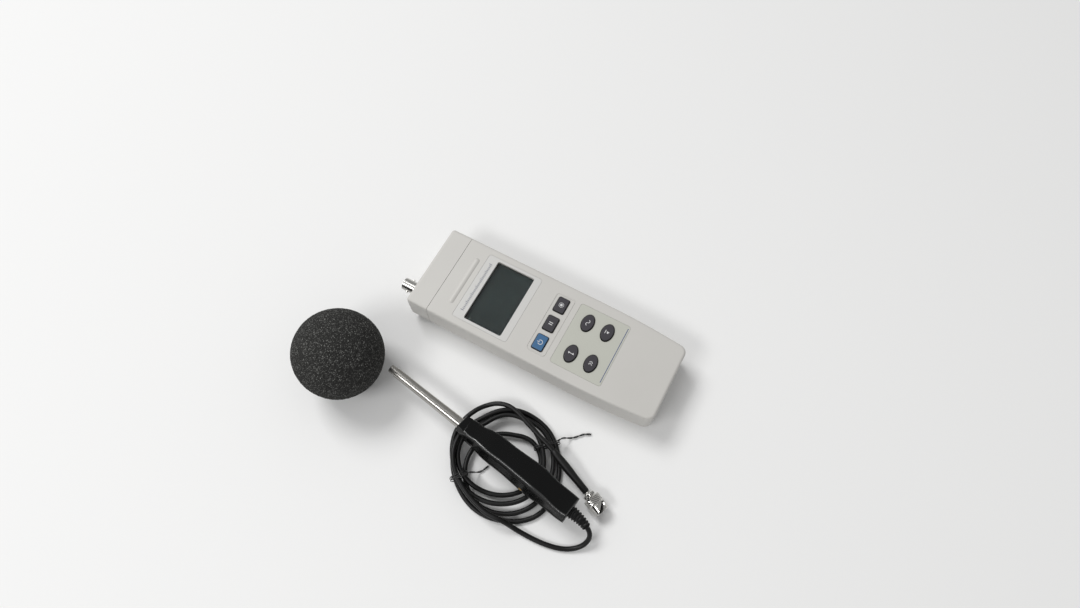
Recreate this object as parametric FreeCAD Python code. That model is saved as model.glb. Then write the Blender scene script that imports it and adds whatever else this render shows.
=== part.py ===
import FreeCAD, Part
import math
import os

# Handheld sound level meter with a microphone probe on a cord and a foam windscreen.
# Millimetres. The origin is the middle of the meter's back face: +X is the right hand side
# of the display, +Y points to the socket end, +Z comes out of the front face.

V = FreeCAD.Vector

# ---- housing ----------------------------------------------------------------
WIDTH = 68.0            # across the keys
LENGTH = 200.0          # foot to end cap
THICK = 30.0            # back face to front face
WALL = 2.2              # housing wall
SPLIT_Z = 12.0          # front and rear cover meet at this height
CAP_LENGTH = 17.8       # grey end cap that carries the socket
SEAM_GAP = 0.3          # shadow line between cap and covers
CAP_CORNER = 2.4        # corner radius at the socket end, seen from the front
FOOT_CORNER = 6.0       # corner radius at the foot
TAPER_RADIUS = 660.0    # the long sides curve in slowly towards the foot
TAPER_START = -30.0     # height on Y where that curve begins
BACK_LEAN = 2.4         # how far the side walls lean in below LEAN_Z
LEAN_Z = 8.0
BACK_CHAMFER = 1.4
CAP_HEEL = 10.0         # large radius under the socket end
FRONT_EDGE = 2.0        # rounding of the front edge

# ---- display ----------------------------------------------------------------
WINDOW_W, WINDOW_H = 52.0, 31.2     # opening in the front cover
WINDOW_Y = 39.2                     # middle of the opening
LABEL_DEPTH = 0.3                   # labels sit flush in pockets this deep
LABEL_GAP = 0.2                     # gap all round a label
D_LABEL_W, D_LABEL_Y0, D_LABEL_Y1 = 56.8, 17.8, 63.6
RIDGE_Y, RIDGE_HALF, RIDGE_R, RIDGE_H = 69.6, 22.0, 3.4, 0.8

# ---- keys -------------------------------------------------------------------
KEY_W, KEY_H, KEY_CORNER = 12.4, 8.8, 1.2       # three square keys in the upper row
KEY_SPACE, KEY_Y = 4.05, -4.1         # between neighbours; middle of the row
KEY_PITCH = KEY_W + KEY_SPACE
OVAL_W, OVAL_H = 14.2, 9.2                      # four oval keys
OVAL_X, OVAL_Y_UP, OVAL_Y_LOW = 13.3, -27.6, -43.5
KEY_PROUD = 1.2         # above the front face
KEY_GAP = 0.3           # between a key and its hole
KEY_TRAVEL = 0.8
FLANGE = 1.0            # flange round the foot of a key
K_LABEL_W, K_LABEL_Y0, K_LABEL_Y1 = 51.2, -57.0, -16.4
FRAME_SIDE, FRAME_H, FRAME_LINE, FRAME_PROUD = 2.35, 15.4, 0.6, 0.3
FRAME_W = 2 * KEY_PITCH + KEY_W + 2 * FRAME_SIDE

# ---- electronics ------------------------------------------------------------
BOARD_DROP, BOARD_T = 9.0, 1.6        # board top below the front face; board thickness
BOARD_TOP = THICK - BOARD_DROP
BOARD_X, BOARD_Y0, BOARD_Y1 = 29.0, -54.0, 66.0
BATTERY = (46.4, 26.2, 17.2)        # body of a 9 V block: X, Y, Z
BATTERY_X0, BATTERY_Y, BATTERY_Z0 = -25.4, -79.4, 2.5
TRIPOD_Y = 30.0
TRIPOD_R, TRIPOD_BORE, TRIPOD_DEPTH = 4.4, 2.55, 8.0
CASE_SCREWS = ((26.0, 72.0), (26.5, -58.6))
BOARD_SCREWS = ((26.3, 62.6), (26.3, -51.0))

# ---- battery door -----------------------------------------------------------
DOOR_HALF, DOOR_Y1, DOOR_T = 25.0, -63.2, 1.9
DOOR_GAP = 0.25
TONGUE, TONGUE_Z0, TONGUE_T = 1.4, 0.8, 0.7

# ---- socket on the end cap ----------------------------------------------------
JACK_X, JACK_Z = -19.3, 17.0
JACK_R, JACK_OUT, JACK_FLANGE_R, JACK_FLANGE_T = 4.8, 12.6, 6.2, 1.6

# ---- microphone probe, built along its own axis then laid down -----------------
PROBE_X, PROBE_Y = -92.9, 17.8      # front of the handle on the table
PROBE_HEADING = 80.6                # degrees from +X, pointing to the microphone
PROBE_ROLL = 20.0                   # the handle leans over on the coil
HANDLE_LENGTH = 97.0
TUBE_REACH, TUBE_HOLD = 61.5, 14.0  # tube in front of and inside the handle
TUBE_R_FRONT, TUBE_R_BACK, TUBE_BORE = 3.5, 3.9, 2.8
NECK = 24.0             # straight length that the windscreen pushes on to
GRID_REACH, GRID_R = 5.6, 3.0
RELIEF_LENGTH, RELIEF_R0, RELIEF_R1 = 11.0, 4.2, 3.0

# ---- cord and plug --------------------------------------------------------------
CORD_R = 1.75
COIL_X, COIL_Y, COIL_MID, COIL_W, COIL_H = -97.0, -18.0, 32.0, 11.0, 7.0
TIE_T, TIE_W = 0.5, 2.2
COIL_Z0 = TIE_T + 0.05
COIL_TOP = COIL_Z0 + COIL_H
PLUG_HEADING, PLUG_LENGTH = (-0.3776, -0.926), 54.0
PLUG_X, PLUG_Y = -76.5, -46.0
RING_R, RING_BORE = 6.2, 5.75
BOOT_WALL, BOOT_LENGTH = 0.75, 27.0
BOOT_R = CORD_R + BOOT_WALL

# ---- windscreen -------------------------------------------------------------------
BALL_R, BALL_X, BALL_Y = 33.0, -93.5, 118.0
BALL_BORE, BALL_DEPTH = 3.3, 42.0

os.makedirs("parts", exist_ok=True)
HALF_W, HALF_L = WIDTH / 2, LENGTH / 2
SEAM_Y = HALF_L - CAP_LENGTH
CEILING = THICK - WALL
UP, ALONG_X, ALONG_Y = V(0, 0, 1), V(1, 0, 0), V(0, 1, 0)


def save(name, shape):
    if isinstance(shape, (list, tuple)):
        shape = Part.makeCompound(list(shape))
    shape.exportStep("parts/%s.step" % name)


def box(x0, x1, y0, y1, z0, z1):
    return Part.makeBox(x1 - x0, y1 - y0, z1 - z0, V(x0, y0, z0))


def cyl(r, start, axis, length):
    return Part.makeCylinder(r, length, V(*start), V(*axis))


def cone(r0, r1, start, axis, length):
    if abs(r0 - r1) < 1e-6:
        return cyl(r0, start, axis, length)
    return Part.makeCone(r0, r1, length, V(*start), V(*axis))


def ring(r, bore, start, axis, length):
    return cyl(r, start, axis, length).cut(cyl(bore, start, axis, length))


def rounded_plate(w, h, corner, cx, cy, z0, z1):
    """A rectangle with round corners, w along X and h along Y, from z0 to z1."""
    block = box(cx - w / 2, cx + w / 2, cy - h / 2, cy + h / 2, z0, z1)
    edges = [e for e in block.Edges if abs(e.tangentAt(e.FirstParameter).z) > 0.99]
    return block.makeFillet(corner, edges)


def oval_plate(w, h, cx, cy, z0, z1):
    curve = Part.Ellipse(V(cx, cy, z0), w / 2, h / 2)
    return Part.Face(Part.Wire(curve.toShape())).extrude(V(0, 0, z1 - z0))


def soften(shape, z, radius):
    """Round every edge that lies in the plane z."""
    edges = [e for e in shape.Edges if all(abs(v.Z - z) < 1e-4 for v in e.Vertexes)
             and abs(e.BoundBox.ZMax - z) < 1e-4 and abs(e.BoundBox.ZMin - z) < 1e-4]
    return shape.makeFillet(radius, edges)


def fused(first, *rest):
    return first.multiFuse(list(rest)).removeSplitter()


# ---- housing outline --------------------------------------------------------------
def outline(inset, z):
    """The front view outline, moved inwards by inset, as a wire at height z."""
    a, top, foot = HALF_W - inset, HALF_L - inset, -HALF_L + inset
    rt, rf = max(CAP_CORNER - inset, 0.5), max(FOOT_CORNER - inset, 0.5)
    ox, big = HALF_W - TAPER_RADIUS, TAPER_RADIUS - inset
    cy = foot + rf
    cx = ox + math.sqrt((big - rf) ** 2 - (cy - TAPER_START) ** 2)
    turn = math.atan2(cy - TAPER_START, cx - ox)

    def on_big(angle):
        return ox + big * math.cos(angle), TAPER_START + big * math.sin(angle)

    def on_foot(angle):
        return cx + rf * math.cos(angle), cy + rf * math.sin(angle)

    down = -math.pi / 2
    half = 0.7071067811865476
    right = [("line", (a, TAPER_START), (a, top - rt)),
             ("arc", (a, top - rt), (a - rt + rt * half, top - rt + rt * half), (a - rt, top))]
    lower = [("arc", (cx, foot), on_foot((down + turn) / 2), on_big(turn)),
             ("arc", on_big(turn), on_big(turn / 2), (a, TAPER_START))]

    def mirrored(pieces):
        back = []
        for kind, *points in reversed(pieces):
            back.append([kind] + [(-x, y) for x, y in reversed(points)])
        return back

    pieces = right + [("line", (a - rt, top), (rt - a, top))] + mirrored(right)
    pieces += mirrored(lower) + [("line", (-cx, foot), (cx, foot))] + lower
    edges = []
    for kind, *points in pieces:
        p = [V(x, y, z) for x, y in points]
        edges.append(Part.makeLine(*p) if kind == "line" else Part.Arc(*p).toShape())
    return Part.Wire(edges)


def body(inset):
    """The whole housing as one block, moved inwards by inset on every side."""
    low, high = inset, THICK - inset
    lean = (BACK_LEAN, LEAN_Z)
    levels = [(low, inset + lean[0] + BACK_CHAMFER), (low + BACK_CHAMFER, inset + lean[0]),
              (low + lean[1], inset)]
    block = Part.makeLoft([outline(i, z) for z, i in levels], True, True)
    z_top = levels[-1][0]
    upper = Part.Face(outline(inset, z_top)).extrude(V(0, 0, high - z_top))
    upper = soften(upper, high, max(FRONT_EDGE - inset, 0.4))
    block = block.fuse(upper)
    heel = max(CAP_HEEL - inset, 1.0)
    y = HALF_L - inset
    tool = box(-WIDTH, WIDTH, y - heel, y + 9, low - 9, low + heel)
    tool = tool.cut(cyl(heel, (-WIDTH, y - heel, low + heel), (1, 0, 0), 2 * WIDTH))
    return block.cut(tool)


def slab(y0, y1, z0, z1):
    return box(-WIDTH, WIDTH, y0, y1, z0, z1)


outer, inner = body(0.0), body(WALL)
shell = outer.cut(inner)
FAR = LENGTH
covers = shell.common(slab(-FAR, SEAM_Y, -1, THICK + 1))

# ---- front cover ------------------------------------------------------------------
key_places = [(i * KEY_PITCH, KEY_Y) for i in (1, 0, -1)]
oval_places = [(x, y) for y in (OVAL_Y_UP, OVAL_Y_LOW) for x in (OVAL_X, -OVAL_X)]
front = covers.common(slab(-FAR, FAR, SPLIT_Z, THICK + 1))


def bosses(places, r, z0, z1):
    return [cyl(r, (sx * x, y, z0), (0, 0, 1), z1 - z0) for x, y in places for sx in (1, -1)]


ridge = cyl(RIDGE_R, (-RIDGE_HALF + RIDGE_R, RIDGE_Y, THICK + RIDGE_H - RIDGE_R), (1, 0, 0),
            2 * (RIDGE_HALF - RIDGE_R))
for side in (-1, 1):
    ridge = ridge.fuse(Part.makeSphere(RIDGE_R, V(side * (RIDGE_HALF - RIDGE_R), RIDGE_Y,
                                                  THICK + RIDGE_H - RIDGE_R), ALONG_X))
ridge = ridge.common(slab(-FAR, FAR, THICK - WALL / 2, THICK + 5))
frame_line = rounded_plate(FRAME_W, FRAME_H, 2.4, 0, KEY_Y, THICK - 0.2, THICK + FRAME_PROUD).cut(
    rounded_plate(FRAME_W - 2 * FRAME_LINE, FRAME_H - 2 * FRAME_LINE, 1.8, 0, KEY_Y,
                  THICK - 0.3, THICK + 1))
CASE_BOSS, BOARD_BOSS = 3.6, 2.6
front = fused(front, ridge, frame_line, *bosses(CASE_SCREWS, CASE_BOSS, SPLIT_Z, CEILING + 0.5))
front = fused(front, *bosses(BOARD_SCREWS, BOARD_BOSS, BOARD_TOP, CEILING + 0.5))
front = front.cut(rounded_plate(WINDOW_W, WINDOW_H, 1.4, 0, WINDOW_Y, CEILING - 1, THICK + 1))
d_label_y = (D_LABEL_Y0 + D_LABEL_Y1) / 2
d_label_h = D_LABEL_Y1 - D_LABEL_Y0
k_label_y = (K_LABEL_Y0 + K_LABEL_Y1) / 2
k_label_h = K_LABEL_Y1 - K_LABEL_Y0
front = front.cut(rounded_plate(D_LABEL_W, d_label_h, 2.0, 0, d_label_y,
                                THICK - LABEL_DEPTH, THICK + 1))
front = front.cut(rounded_plate(K_LABEL_W, k_label_h, 2.0, 0, k_label_y,
                                THICK - LABEL_DEPTH, THICK + 1))
for x, y in key_places:
    front = front.cut(rounded_plate(KEY_W + 2 * KEY_GAP, KEY_H + 2 * KEY_GAP, KEY_CORNER + KEY_GAP,
                                    x, y, CEILING - 1, THICK + 1))
for x, y in oval_places:
    front = front.cut(oval_plate(OVAL_W + 2 * KEY_GAP, OVAL_H + 2 * KEY_GAP, x, y,
                                 CEILING - 1, THICK + 1))
SCREW_R, HEAD_R = 1.4, 2.7
for hole in bosses(CASE_SCREWS, SCREW_R, SPLIT_Z - 1, CEILING - 2):
    front = front.cut(hole)
for hole in bosses(BOARD_SCREWS, 1.0, BOARD_TOP - 1, CEILING - 2):
    front = front.cut(hole)
save("front_cover", front)

# ---- rear cover, with battery bay, screw posts and tripod boss ----------------------
rear = covers.common(slab(-FAR, FAR, -1, SPLIT_Z))
bay_x, bay_y0, bay_y1, bay_top = 27.1, -95.4, -62.4, 21.4
BAY_WALL = 1.4
bay = box(-bay_x, bay_x, bay_y0, bay_y1, WALL - 0.2, bay_top)
bay = bay.cut(box(-bay_x + BAY_WALL, bay_x - BAY_WALL, bay_y0 + BAY_WALL, bay_y1 - BAY_WALL,
                  0, bay_top - BAY_WALL))
bay = bay.cut(box(18.0, 26.0, bay_y1 - 4, bay_y1 + 1, 8.2, 14.4))
bay = bay.common(body(WALL - 0.2))
rear = fused(rear, bay, cyl(7.0, (0, TRIPOD_Y, WALL - 0.2), (0, 0, 1), TRIPOD_DEPTH + 1.5),
             *bosses(CASE_SCREWS, CASE_BOSS, WALL - 0.2, SPLIT_Z))
rear = rear.cut(cyl(TRIPOD_R, (0, TRIPOD_Y, -1), (0, 0, 1), TRIPOD_DEPTH + 1))
HEAD_Z, SCREW_TOP = 4.0, 22.0
for hole in bosses(CASE_SCREWS, HEAD_R + 0.2, -1, HEAD_Z):
    rear = rear.cut(hole)
for hole in bosses(CASE_SCREWS, SCREW_R, HEAD_Z - 1, SPLIT_Z + 1):
    rear = rear.cut(hole)
door_block = box(-DOOR_HALF, DOOR_HALF, -FAR, DOOR_Y1, -1, DOOR_T)
door_space = box(-DOOR_HALF - DOOR_GAP, DOOR_HALF + DOOR_GAP, -FAR, DOOR_Y1 + DOOR_GAP,
                 -1, DOOR_T + DOOR_GAP)
tongue_space = box(-DOOR_HALF - TONGUE - DOOR_GAP, DOOR_HALF + TONGUE + DOOR_GAP, -FAR,
                   DOOR_Y1 - 4 + DOOR_GAP, TONGUE_Z0 - DOOR_GAP, TONGUE_Z0 + TONGUE_T + DOOR_GAP)
rear = rear.cut(door_space).cut(tongue_space)
rear = rear.cut(box(-bay_x + BAY_WALL, bay_x - BAY_WALL, bay_y0 + BAY_WALL, bay_y1 - BAY_WALL,
                    DOOR_T, bay_top - BAY_WALL))
save("rear_cover", rear)

door = outer.common(door_block)
tongues = box(-DOOR_HALF - TONGUE, DOOR_HALF + TONGUE, -HALF_L + 6, DOOR_Y1 - 4,
              TONGUE_Z0, TONGUE_Z0 + TONGUE_T)
door = fused(door, tongues)
for i in range(5):
    y = -90.0 + 2.6 * i
    door = door.cut(cyl(0.7, (-8 + abs(i - 2) * 1.5, y, -0.3), (1, 0, 0), 16 - abs(i - 2) * 3))
save("battery_door", door)

TIP_Z0 = 13.0
save("case_screw", [fused(cyl(HEAD_R, (x, y, HEAD_Z - 1.8), (0, 0, 1), 1.8),
                          cyl(SCREW_R, (x, y, HEAD_Z), (0, 0, 1), SCREW_TOP - HEAD_Z)).cut(
     box(x - 0.4, x + 0.4, y - 1.8, y + 1.8, HEAD_Z - 2, HEAD_Z - 1)).cut(
     box(x - 1.8, x + 1.8, y - 0.4, y + 0.4, HEAD_Z - 2, HEAD_Z - 1))
     for sx, y in CASE_SCREWS for x in (sx, -sx)])
insert = cyl(TRIPOD_R, (0, TRIPOD_Y, 0.4), (0, 0, 1), TRIPOD_DEPTH - 0.4)
save("tripod_insert", insert.cut(cyl(TRIPOD_BORE, (0, TRIPOD_Y, 0), (0, 0, 1), TRIPOD_DEPTH - 1)))

# ---- end cap with its spigot ---------------------------------------------------------
LIP_GAP, LIP_T, LIP_REACH = 0.15, 1.3, 4.5
cap = shell.common(slab(SEAM_Y + SEAM_GAP, FAR, -1, THICK + 1))
lip_core = body(WALL + LIP_GAP + LIP_T)
lip = body(WALL + LIP_GAP).cut(lip_core).common(slab(SEAM_Y - LIP_REACH, SEAM_Y + 4, -1, 50))
root = body(WALL - 0.5).cut(lip_core).common(slab(SEAM_Y + SEAM_GAP, SEAM_Y + 4, -1, 50))
cap = fused(cap, lip, root)
cap = cap.cut(cyl(JACK_R + 0.05, (JACK_X, HALF_L - 9, JACK_Z), (0, 1, 0), 12))
save("end_cap", cap)

# ---- labels, window, display -----------------------------------------------------------
d_label = rounded_plate(D_LABEL_W - 2 * LABEL_GAP, d_label_h - 2 * LABEL_GAP, 1.8, 0, d_label_y,
                        THICK - LABEL_DEPTH, THICK)
save("display_label", d_label.cut(rounded_plate(WINDOW_W, WINDOW_H, 1.4, 0, WINDOW_Y,
                                                THICK - 1, THICK + 1)))
k_label = rounded_plate(K_LABEL_W - 2 * LABEL_GAP, k_label_h - 2 * LABEL_GAP, 1.8, 0, k_label_y,
                        THICK - LABEL_DEPTH, THICK)
for x, y in oval_places:
    k_label = k_label.cut(oval_plate(OVAL_W + 2 * KEY_GAP, OVAL_H + 2 * KEY_GAP, x, y,
                                     THICK - 1, THICK + 1))
save("keypad_label", k_label)
PANE_T, GLASS_T = 1.2, 2.4
GLASS_W, GLASS_H = WINDOW_W + 1.2, WINDOW_H + 2.4
save("display_window", rounded_plate(WINDOW_W + 4, WINDOW_H + 4, 1.5, 0, WINDOW_Y,
                                     CEILING - PANE_T, CEILING))
glass_z = BOARD_TOP + 2.4
save("lcd_panel", box(-GLASS_W / 2, GLASS_W / 2, WINDOW_Y - GLASS_H / 2, WINDOW_Y + GLASS_H / 2,
                      glass_z, glass_z + GLASS_T))
HOLDER_WALL = 1.6
hw, hh = GLASS_W / 2 + 0.1, GLASS_H / 2 + 0.1
holder = box(-hw - HOLDER_WALL, hw + HOLDER_WALL, WINDOW_Y - hh - HOLDER_WALL,
             WINDOW_Y + hh + HOLDER_WALL, BOARD_TOP, CEILING - PANE_T - 0.1)
holder = holder.cut(box(-hw, hw, WINDOW_Y - hh, WINDOW_Y + hh, BOARD_TOP - 1, CEILING))
save("lcd_holder", holder)
save("zebra_strip", [box(-24, 24, WINDOW_Y + s * 14.8 - 1, WINDOW_Y + s * 14.8 + 1,
                         BOARD_TOP, glass_z) for s in (1, -1)])

# ---- board and key mat -------------------------------------------------------------------
board = box(-BOARD_X, BOARD_X, BOARD_Y0, BOARD_Y1, BOARD_TOP - BOARD_T, BOARD_TOP)
for hole in bosses(BOARD_SCREWS, 1.2, BOARD_TOP - 5, BOARD_TOP + 1):
    board = board.cut(hole)
save("circuit_board", board)
save("board_screw", [fused(cyl(1.9, (x, y, BOARD_TOP - BOARD_T - 1.2), (0, 0, 1), 1.2),
                           cyl(1.0, (x, y, BOARD_TOP - BOARD_T), (0, 0, 1), 5.2)).cut(
     box(x - 1.4, x + 1.4, y - 0.3, y + 0.3, BOARD_TOP - BOARD_T - 2, BOARD_TOP - BOARD_T - 0.6))
     for sx, y in BOARD_SCREWS for x in (sx, -sx)])

PAD_TOP = BOARD_TOP + 2.6
KEY_FOOT = PAD_TOP + KEY_TRAVEL + 0.1
mat = rounded_plate(47.0, 55.6, 2.0, 0, -22.2, BOARD_TOP, BOARD_TOP + 1.0)
for x, y in key_places + oval_places:
    mat = mat.fuse(cone(4.2, 3.2, (x, y, BOARD_TOP + 0.9), (0, 0, 1), PAD_TOP - BOARD_TOP - 0.9))
save("key_mat", mat.removeSplitter())

flange_top = CEILING - 0.1


def key_cap(plate, w, h, x, y):
    """A key: crowned head through the cover, flange under it, post down to the mat."""
    head = soften(plate(w, h, x, y, flange_top - 0.5, THICK + KEY_PROUD), THICK + KEY_PROUD, 0.7)
    foot = plate(w + 2 * FLANGE, h + 2 * FLANGE, x, y, flange_top - 1.0, flange_top)
    return fused(head, foot, cyl(2.6, (x, y, KEY_FOOT), (0, 0, 1), flange_top - KEY_FOOT))


def square_plate(w, h, x, y, z0, z1):
    return rounded_plate(w, h, KEY_CORNER, x, y, z0, z1)


for node, (x, y) in zip(("record_button", "hold_button", "power_button"), key_places):
    save(node, key_cap(square_plate, KEY_W, KEY_H, x, y))
for node, (x, y) in zip(("weighting_button", "range_button", "max_hold_button",
                         "response_button"), oval_places):
    save(node, key_cap(oval_plate, OVAL_W, OVAL_H, x, y))

# ---- battery, its snap and the inside leads -------------------------------------------------
bx1 = BATTERY_X0 + BATTERY[0]
by0, by1 = BATTERY_Y - BATTERY[1] / 2, BATTERY_Y + BATTERY[1] / 2
bz1 = BATTERY_Z0 + BATTERY[2]
bzm = (BATTERY_Z0 + bz1) / 2
TERMINAL_R, TERMINAL_OUT, TERMINAL_PITCH = 3.6, 2.1, 12.7
battery = box(BATTERY_X0, bx1, by0, by1, BATTERY_Z0, bz1)
battery = battery.makeFillet(1.5, [e for e in battery.Edges
                                   if abs(e.tangentAt(e.FirstParameter).x) > 0.99])
snap = box(bx1 + 0.3, bx1 + 4.5, by0 + 0.6, by1 - 0.6, BATTERY_Z0 + 0.8, bz1 - 0.8)
for s in (1, -1):
    y = BATTERY_Y + s * TERMINAL_PITCH / 2
    battery = battery.fuse(cyl(TERMINAL_R, (bx1 - 0.5, y, bzm), (1, 0, 0), TERMINAL_OUT + 0.5))
    snap = snap.cut(cyl(TERMINAL_R + 0.3, (bx1, y, bzm), (1, 0, 0), TERMINAL_OUT + 0.3))
save("battery", battery.removeSplitter())
save("battery_snap", snap)


def swept(points, radius, report=None):
    """A round tube along straight runs joined by tangent arcs. Points are vectors."""
    pts = [V(*p) for p in points]
    edges, here = [], pts[0]
    for before, corner, after in zip(pts, pts[1:], pts[2:]):
        a, b = (before - corner), (after - corner)
        la, lb = a.Length, b.Length
        a.normalize()
        b.normalize()
        between = math.acos(max(-1.0, min(1.0, a.dot(b))))
        half_turn = (math.pi - between) / 2
        cutback = 0.45 * min(la, lb)
        bend = cutback / math.tan(half_turn)
        if report is not None:
            report.append(bend)
        p1, p2 = corner + a * cutback, corner + b * cutback
        axis = (a + b)
        axis.normalize()
        centre = corner + axis * math.sqrt(bend ** 2 + cutback ** 2)
        edges.append(Part.makeLine(here, p1))
        edges.append(Part.Arc(p1, centre - axis * bend, p2).toShape())
        here = p2
    edges.append(Part.makeLine(here, pts[-1]))
    spine = Part.Wire(edges)
    start = pts[1] - pts[0]
    profile = Part.Wire(Part.makeCircle(radius, pts[0], start))
    return spine.makePipeShell([profile], True, True)


LEAD_R = 0.7
lead_x = bx1 + 1.1
for node, dz in (("lead_red", 1.6), ("lead_black", -1.6)):
    z = bzm + dz
    turn_y = -57.5 + dz
    save(node, swept([(lead_x, by1 - 0.6, z), (lead_x, turn_y, z), (lead_x - 3, turn_y + 6, z + 4),
                      (lead_x - 3 + dz, -46.0, BOARD_TOP - BOARD_T - LEAD_R)], LEAD_R))

# ---- bayonet socket on the cap ----------------------------------------------------------------
jack_back = HALF_L - 9.5


def on_jack(r, y0, y1):
    return cyl(r, (JACK_X, y0, JACK_Z), (0, 1, 0), y1 - y0)


JACK_BORE, NOSE_R, SOCKET_R = 3.5, 2.2, 0.9
tip = HALF_L + JACK_OUT
jack = fused(on_jack(JACK_R - 0.05, jack_back, HALF_L + 1), on_jack(JACK_R, HALF_L, tip),
             on_jack(JACK_FLANGE_R, HALF_L, HALF_L + JACK_FLANGE_T),
             cyl(1.0, (JACK_X - 5.6, tip - 4.9, JACK_Z), (1, 0, 0), 11.2))
jack = jack.cut(on_jack(JACK_BORE, jack_back - 1, tip + 1))
save("jack_body", jack)
save("jack_insulator", fused(on_jack(JACK_BORE, jack_back + 1, HALF_L + 3),
                             on_jack(NOSE_R, HALF_L + 2, tip - 1.6)).cut(
     on_jack(SOCKET_R, jack_back - 1, tip)))
save("jack_contact", on_jack(SOCKET_R, jack_back - 2, tip - 2.0).cut(
     on_jack(0.5, tip - 8, tip)))
save("jack_washer", on_jack(6.5, HALF_L - WALL - 0.7, HALF_L - WALL).cut(
     on_jack(JACK_R, HALF_L - 9, HALF_L)))
flats = Part.makePolygon([V(JACK_X + 7.0 * math.cos(math.radians(60 * i)), HALF_L - WALL - 2.9,
                            JACK_Z + 7.0 * math.sin(math.radians(60 * i))) for i in range(7)])
nut = Part.Face(flats).extrude(V(0, 2.2, 0))
save("jack_nut", nut.cut(on_jack(JACK_R - 0.05, HALF_L - 9, HALF_L)))
COAX_R = 1.0
board_under = BOARD_TOP - BOARD_T - COAX_R
save("jack_lead", swept([(JACK_X, jack_back - 2, JACK_Z), (JACK_X, 80.0, JACK_Z),
                         (JACK_X, 70.0, board_under), (JACK_X, 58.0, board_under)], COAX_R))

# ---- microphone probe ----------------------------------------------------------------------------
# Own axes: +Y to the microphone, +Z up, the front of the handle at y = 0.
PLAN = ((0.0, 5.8), (5.0, 6.7), (11.0, 7.7), (16.5, 7.7), (20.5, 8.6), (40.0, 9.4), (58.0, 10.1),
        (71.0, 10.1), (76.0, 9.6), (86.0, 9.7), (HANDLE_LENGTH, 9.2))
SIDE_TOP = ((0.0, 5.2), (9.0, 6.2), (16.5, 6.7), (20.5, 7.6), (40.0, 9.2), (57.0, 9.8),
            (71.0, 9.2), (76.0, 8.3), (HANDLE_LENGTH, 7.0))
SIDE_LOW = ((0.0, 5.2), (18.0, 7.0), (55.0, 8.0), (78.0, 7.8), (HANDLE_LENGTH, 7.0))
DRAFT_TOP, DRAFT_LOW, DRAFT_RISE = 1.6, 3.0, 10.0    # the sides lean in above and below the seam


def smooth(points):
    curve = Part.BSplineCurve()
    curve.interpolate([V(*p) for p in points])
    return curve.toShape()


def closed(edges):
    ends = []
    for a, b in zip(edges, edges[1:] + edges[:1]):
        p, q = a.Vertexes[-1].Point, b.Vertexes[0].Point
        ends.append(a)
        if (p - q).Length > 1e-6:
            ends.append(Part.makeLine(p, q))
    return Part.Wire(ends)


def plan_at(inset, z):
    right_edge = smooth([(w - inset, -s, z) for s, w in PLAN])
    left_edge = smooth([(inset - w, -s, z) for s, w in reversed(PLAN)])
    return closed([right_edge, left_edge])


plan = Part.makeLoft([plan_at(0, 0), plan_at(DRAFT_TOP, DRAFT_RISE)], True, True).fuse(
    Part.makeLoft([plan_at(DRAFT_LOW, -DRAFT_RISE), plan_at(0, 0)], True, True))
top_edge = smooth([(0, -s, h) for s, h in SIDE_TOP])
low_edge = smooth([(0, -s, -h) for s, h in reversed(SIDE_LOW)])
side = Part.Face(closed([top_edge, low_edge])).extrude(V(40, 0, 0))
side.translate(V(-20, 0, 0))
grip = plan.common(side)
TUBE_SEAT = TUBE_R_BACK + 0.02
RELIEF_NECK, RELIEF_HEAD = 3.6, 5.0
cavity = fused(box(-5.6, 5.6, -90.5, -16.0, -4.6, 4.6),
               cyl(TUBE_SEAT, (0, -TUBE_HOLD - 4, 0), (0, 1, 0), TUBE_HOLD + 5),
               cyl(RELIEF_NECK, (0, -HANDLE_LENGTH - 1, 0), (0, 1, 0), 10))
grip = grip.cut(cavity)
HANDLE_SCREWS = (-25.0, -84.0)
HS_R, HS_HEAD = 0.9, 1.8
for y in HANDLE_SCREWS:
    grip = grip.cut(cyl(HS_R, (6.6, y, -20), (0, 0, 1), 24))
    grip = grip.cut(cyl(HS_HEAD + 0.1, (6.6, y, -20), (0, 0, 1), 20 - 3.6))
TRIM_Y, TRIM_R = -61.0, 1.5
grip = grip.cut(cyl(TRIM_R + 0.06, (-20, TRIM_Y, -2.2), (1, 0, 0), 16))
pieces = {"handle_upper": grip.common(box(-20, 20, -120, 5, 0, 20)),
          "handle_lower": grip.common(box(-20, 20, -120, 5, -20, 0))}
pieces["handle_screw"] = [fused(cyl(HS_HEAD, (6.6, y, -5.0), (0, 0, 1), 1.4),
                                cyl(HS_R, (6.6, y, -3.6), (0, 0, 1), 7.4)).cut(
    box(5.6, 7.6, y - 0.25, y + 0.25, -6, -4.5)) for y in HANDLE_SCREWS]
pieces["cal_trimmer"] = cyl(TRIM_R, (-9.5, TRIM_Y, -2.2), (1, 0, 0), 4.2).cut(
    box(-11, -8.8, TRIM_Y - 2, TRIM_Y + 2, -2.45, -1.95))
pieces["preamp_board"] = fused(box(-5.0, 5.0, -78.0, -20.0, -0.8, 0.8),
                               box(-5.0, -3.0, TRIM_Y - 3, TRIM_Y + 3, -4.2, -0.7))
tube = fused(cyl(TUBE_R_BACK, (0, -TUBE_HOLD, 0), (0, 1, 0), TUBE_HOLD + 4.0),
             cone(TUBE_R_BACK, TUBE_R_FRONT, (0, 4.0, 0), (0, 1, 0), TUBE_REACH - NECK - 4.0),
             cyl(TUBE_R_FRONT, (0, TUBE_REACH - NECK, 0), (0, 1, 0), NECK))
pieces["mic_tube"] = tube.cut(cyl(TUBE_BORE, (0, -TUBE_HOLD - 1, 0), (0, 1, 0), TUBE_REACH + 30))
pieces["mic_capsule"] = cyl(TUBE_BORE, (0, TUBE_REACH - 12.0, 0), (0, 1, 0), 9.6)
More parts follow.
